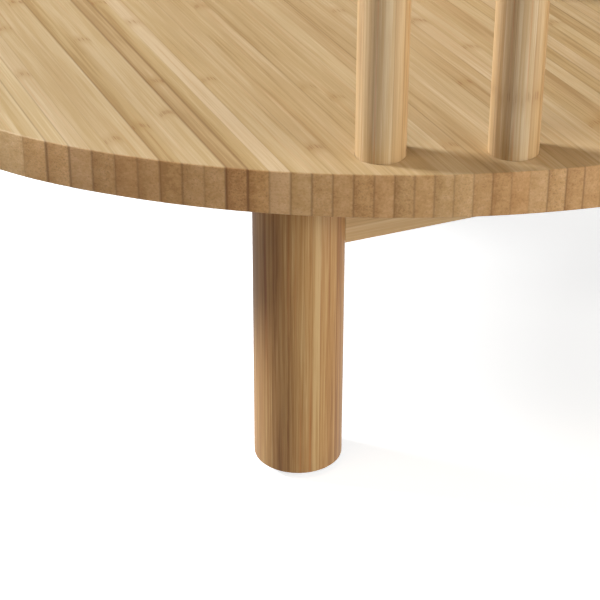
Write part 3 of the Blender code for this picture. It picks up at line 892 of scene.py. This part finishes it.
def pegPlacing(start, given, index):
    level = (index / 2).floor()
    side = index - level * 2
    crossed = level - (level / 2).floor() * 2
    heading = side * math.pi + crossed * (math.pi / 2)
    height = given["Lowest"] + level * given["Level Step"]
    place = start.node("ShaderNodeCombineXYZ", sockets={"Z": height})
    lean = start.node("ShaderNodeCombineXYZ", sockets={"Y": math.pi / 2 - given["Tilt"], "Z": heading})
    return place, start.node("FunctionNodeEulerToRotation", {}, {0: lean})


def makePegs():
    radius, tip, arris = plan["spindleRadius"], pegPlan["tipRounding"], plan["arris"]
    low = pegPlan["start"]
    high = low + pegPlan["length"]
    profile = [(0, high)]
    profile += rounded(radius - tip, high - tip, tip, math.pi / 2, 0, 8)
    profile += rounded(radius - arris, low + arris, arris, 0, -math.pi / 2, 3)
    profile += [(0, low)]
    mesh = turned("peg", profile, 64)
    markGrain(mesh, Vector((1, 0, 0)), up)
    inputs = [("Count", "Int"), ("Lowest", "Float"), ("Level Step", "Float"), ("Tilt", "Float")]
    tree = rowTree("pegLevels", inputs, pegPlacing)
    values = {"Seed": 2, "Count": pegPlan["count"], "Lowest": trayHigh.z + pegPlan["lowest"],
              "Level Step": pegPlan["levelStep"], "Tilt": pegPlan["tilt"]}
    nodes = [f"peg_{number + 1}" for number in range(pegPlan["count"])]
    makeRow("pegs", tree, values, mesh, spindleBamboo, nodes)


def screwPlacing(start, given, index):
    rail = (index / 2).floor()
    side = (index - rail * 2) * 2 - 1
    line = (rail * 2 - 1) * given["Rail Line"]
    place = start.node("ShaderNodeCombineXYZ", sockets={"X": side * given["Offset"], "Y": line})
    rolled = start.node("ShaderNodeCombineXYZ", sockets={"Z": index * 0.8})
    return place, start.node("FunctionNodeEulerToRotation", {}, {0: rolled})


def makeScrews():
    low = railLow.z + screwPlan["sunk"]
    tip = low + screwPlan["length"]
    radius, head = screwPlan["radius"], screwPlan["headRadius"]
    pitch, root = screwPlan["threadPitch"], screwPlan["radius"] - screwPlan["threadDepth"]
    height = tip - screwPlan["tipLength"]
    profile = [(0, tip), (radius * 0.35, tip - 0.001), (radius, height)]
    while height > low + screwPlan["plainLength"]:
        height -= pitch
        profile += [(root, height + pitch * 0.6), (radius, height)]
    profile += [(radius, low + screwPlan["headHeight"]), (head, low + 0.0003), (head, low + 0.0001),
                (head - 0.0001, low), (0, low)]
    mesh = turned("railScrew", profile, 24)
    for turn in (0, math.pi / 2):
        tool = meshFrom("tool", lambda bm: addBox(bm, screwPlan["slot"], (0, 0, 0)))
        tool.transform(Matrix.Translation((0, 0, low)) @ Matrix.Rotation(turn, 4, "Z"))
        mesh = carved(mesh, tool)
    inputs = [("Count", "Int"), ("Offset", "Float"), ("Rail Line", "Float")]
    tree = rowTree("railScrewRow", inputs, screwPlacing)
    values = {"Seed": 1, "Count": screwPlan["count"], "Offset": screwPlan["offset"], "Rail Line": legOffset}
    nodes = [f"rail_screw_{number + 1}" for number in range(screwPlan["count"])]
    makeRow("railScrews", tree, values, mesh, zincSteel, nodes)


trunkPlan = {
    "rounding": 0.0042,
    "insertBore": 0.0051,
    "insertDepth": 0.0136,
    "boltBore": 0.0033,
    "boltRoom": 0.006,
    "socketGap": 0.0001,            # under a peg's end
    "grainTurn": 10,
    "grainShift": (0.9, 0.2, 0.1),
}


def makeTrunk():
    radius, top = trunkHigh.x, trunkHigh.z
    rounding, arris = trunkPlan["rounding"], plan["arris"]
    profile = [(0, top)]
    profile += rounded(radius - rounding, top - rounding, rounding, math.pi / 2, 0, 10)
    profile += rounded(radius - arris, trunkLow.z + arris, arris, 0, -math.pi / 2, 3)
    seat = trunkLow.z + trunkPlan["insertDepth"]
    roof = seat + trunkPlan["boltRoom"]
    wide, narrow = trunkPlan["insertBore"], trunkPlan["boltBore"]
    profile += [(wide, trunkLow.z), (wide, seat), (narrow, seat), (narrow, roof), (0, roof)]
    mesh = turned("trunkPost", profile, 96)

    def sockets(bm):
        for number in range(pegPlan["count"]):
            level, side = divmod(number, 2)
            heading = side * math.pi + (level % 2) * math.pi / 2
            axis = Euler((0, math.pi / 2 - pegPlan["tilt"], heading)).to_matrix() @ up
            centre = up * (trayHigh.z + pegPlan["lowest"] + level * pegPlan["levelStep"])
            floor = centre + axis * (pegPlan["start"] - trunkPlan["socketGap"])
            addRod(bm, plan["spindleRadius"] + plan["fit"], floor, centre + axis * 2 * radius)

    mesh = carved(mesh, meshFrom("tool", sockets))
    markGrain(mesh, onCircle(1, math.radians(trunkPlan["grainTurn"])), up, trunkPlan["grainShift"])
    finishPiece("trunkPost", mesh, spindleBamboo, ["trunk"])


boltPlan = {
    "radius": 0.003,
    "threadPitch": 0.001,
    "threadDepth": 0.0004,
    "plainLength": 0.006,
    "headGap": 0.0001,              # between head and washer
    "headChamfer": 0.0003,
    "headRounding": 0.0008,
    "keyWidth": 0.004,              # across the flats of the key's socket
    "keyDepth": 0.002,
    "washerBore": 0.0033,
    "washerEdge": 0.0002,
}


def makeTrunkFastening():
    boltLow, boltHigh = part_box("trunk_bolt")
    washerLow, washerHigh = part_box("trunk_washer")
    radius, pitch = boltPlan["radius"], boltPlan["threadPitch"]
    head, headTop = boltHigh.x, washerLow.z - boltPlan["headGap"]
    chamfer, rounding = boltPlan["headChamfer"], boltPlan["headRounding"]
    height = boltHigh.z - pitch / 2
    profile = [(0, boltHigh.z), (radius - pitch / 2, boltHigh.z), (radius, height)]
    while height > headTop + boltPlan["plainLength"]:
        height -= pitch
        profile += [(radius - boltPlan["threadDepth"], height + pitch / 2), (radius, height)]
    profile += [(radius, headTop), (head - chamfer, headTop), (head, headTop - chamfer)]
    profile += rounded(head - rounding, boltLow.z + rounding, rounding, 0, -math.pi / 2, 4)
    profile += [(0, boltLow.z)]
    mouth, keyEnd = up * (boltLow.z - plan["past"]), up * (boltLow.z + boltPlan["keyDepth"])
    keyRadius = boltPlan["keyWidth"] / math.sqrt(3)
    key = meshFrom("tool", lambda bm: addRod(bm, keyRadius, mouth, keyEnd, steps=6))
    bolt = carved(turned("trunkBolt", profile, 48), key)
    finishPiece("trunkBolt", bolt, zincSteel, ["trunk_bolt"])
    inner, outer, edge = boltPlan["washerBore"], washerHigh.x, boltPlan["washerEdge"]
    profile = [(inner, washerHigh.z), (outer - edge, washerHigh.z), (outer, washerHigh.z - edge)]
    profile += [(outer, washerLow.z + edge), (outer - edge, washerLow.z), (inner, washerLow.z)]
    washer = turned("trunkWasher", [*profile, profile[0]], 64)
    finishPiece("trunkWasher", washer, zincSteel, ["trunk_washer"])


makeTray()
print("tray made")
makeLegs()
makePads()
makeRails()
print("stand made")
makeSpindles()
makeCapRails()
print("galleries made")
makeTrunk()
makePegs()
print("trunk and pegs made")
makeScrews()
makeTrunkFastening()
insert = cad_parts["trunk_insert"]
insert.data.materials.clear()
insert.data.materials.append(zincSteel)
print("fasteners made")


# floor, light and camera

# one floor is seen, and stays pale; a duller one lights the object from below; a third shines in the lacquer
floors = {
    "paleFloor": {"height": -0.0006, "tone": (0.9, 0.9, 0.9, 1), "glow": 0.79, "seenBy": ["camera"]},
    "bounceFloor": {"height": -0.0003, "tone": (0.46, 0.40, 0.33, 1), "glow": 0.0, "seenBy": ["diffuse"]},
    "shineFloor": {"height": -0.0004, "tone": (0.0, 0.0, 0.0, 1), "glow": 0.8, "seenBy": ["glossy"]},
}
floorSize, floorBend = 5.0, 1.6


def makeFloors():
    for name, floor in floors.items():
        height = floor["height"]
        profile = [(0, height), (floorSize, height)]
        if "camera" in floor["seenBy"]:
            bend = rounded(floorSize - floorBend, height + floorBend, floorBend, -math.pi / 2, 0, 16)
            profile = [(0, height), *bend, (floorSize, 2 * floorSize)]
        mesh = turned(name, profile, 96)
        mesh.shade_smooth()
        mesh.flip_normals()
        thing = linked(name, mesh)
        for ray in ("camera", "diffuse", "glossy", "shadow"):
            setattr(thing, "visible_" + ray, ray in floor["seenBy"])
        material, _, shader = newMaterial(name)
        shader.inputs["Base Color"].default_value = floor["tone"]
        shader.inputs["Roughness"].default_value = 0.9
        shader.inputs["Specular IOR Level"].default_value = 0.0
        shader.inputs["Emission Color"].default_value = (1, 1, 1, 1)
        shader.inputs["Emission Strength"].default_value = floor["glow"]
        thing.data.materials.append(material)


# azimuths go round from the right of the view, anticlockwise from above
lights = {
    "key": {"azimuth": 163.5, "height": 25.2, "size": 0.32, "power": 33.0, "colour": (1, 1, 1)},
    "rightBox": {"azimuth": -25, "height": 13, "size": 1.0, "power": 21.5, "colour": (1, 0.95, 0.88)},
    "frontTop": {"azimuth": 225, "height": 66, "size": 0.8, "power": 4.8, "colour": (1, 0.80, 0.62)},
}
lampDistance = 1.5
lampTarget = Vector((-0.05, -0.07, trayHigh.z))
worldGlow = {"colour": (1, 0.85, 0.72, 1), "strength": 0.02}
viewTurn = math.radians(23.48)


def makeLights():
    for name, light in lights.items():
        lamp = bpy.data.lights.new(name, "AREA")
        lamp.energy = light["power"]
        lamp.size = light["size"]
        lamp.color = light["colour"]
        thing = linked(name, lamp)
        azimuth = math.radians(light["azimuth"]) - viewTurn
        height = math.radians(light["height"])
        flat = math.cos(height)
        away = Vector((flat * math.cos(azimuth), flat * math.sin(azimuth), math.sin(height)))
        thing.location = lampTarget + away * lampDistance
        thing.rotation_euler = away.to_track_quat("Z", "Y").to_euler()
        thing.visible_camera = False
    world = bpy.data.worlds.new("studio")
    world.use_nodes = True
    background = world.node_tree.nodes["Background"]
    background.inputs["Color"].default_value = worldGlow["colour"]
    background.inputs["Strength"].default_value = worldGlow["strength"]
    bpy.context.scene.world = world


cameraPlan = {
    "lens": 111.85,
    "place": (-0.2307, arcCentre - 0.4805, trayHigh.z + 0.1687),
    "raise": math.radians(60.65),   # from straight down
    "roll": math.radians(0.2),
}


def makeCamera():
    lens = bpy.data.cameras.new("camera")
    lens.sensor_width = 36
    lens.lens = cameraPlan["lens"]
    camera = linked("camera", lens)
    camera.location = cameraPlan["place"]
    look = Matrix.Rotation(-viewTurn, 3, "Z") @ Matrix.Rotation(cameraPlan["raise"], 3, "X")
    roll = Matrix.Rotation(cameraPlan["roll"], 3, "Z")
    camera.rotation_euler = (look @ roll).to_euler()
    bpy.context.scene.camera = camera


makeFloors()
makeLights()
makeCamera()
bpy.context.scene.view_settings.view_transform = "Standard"
print("studio made")
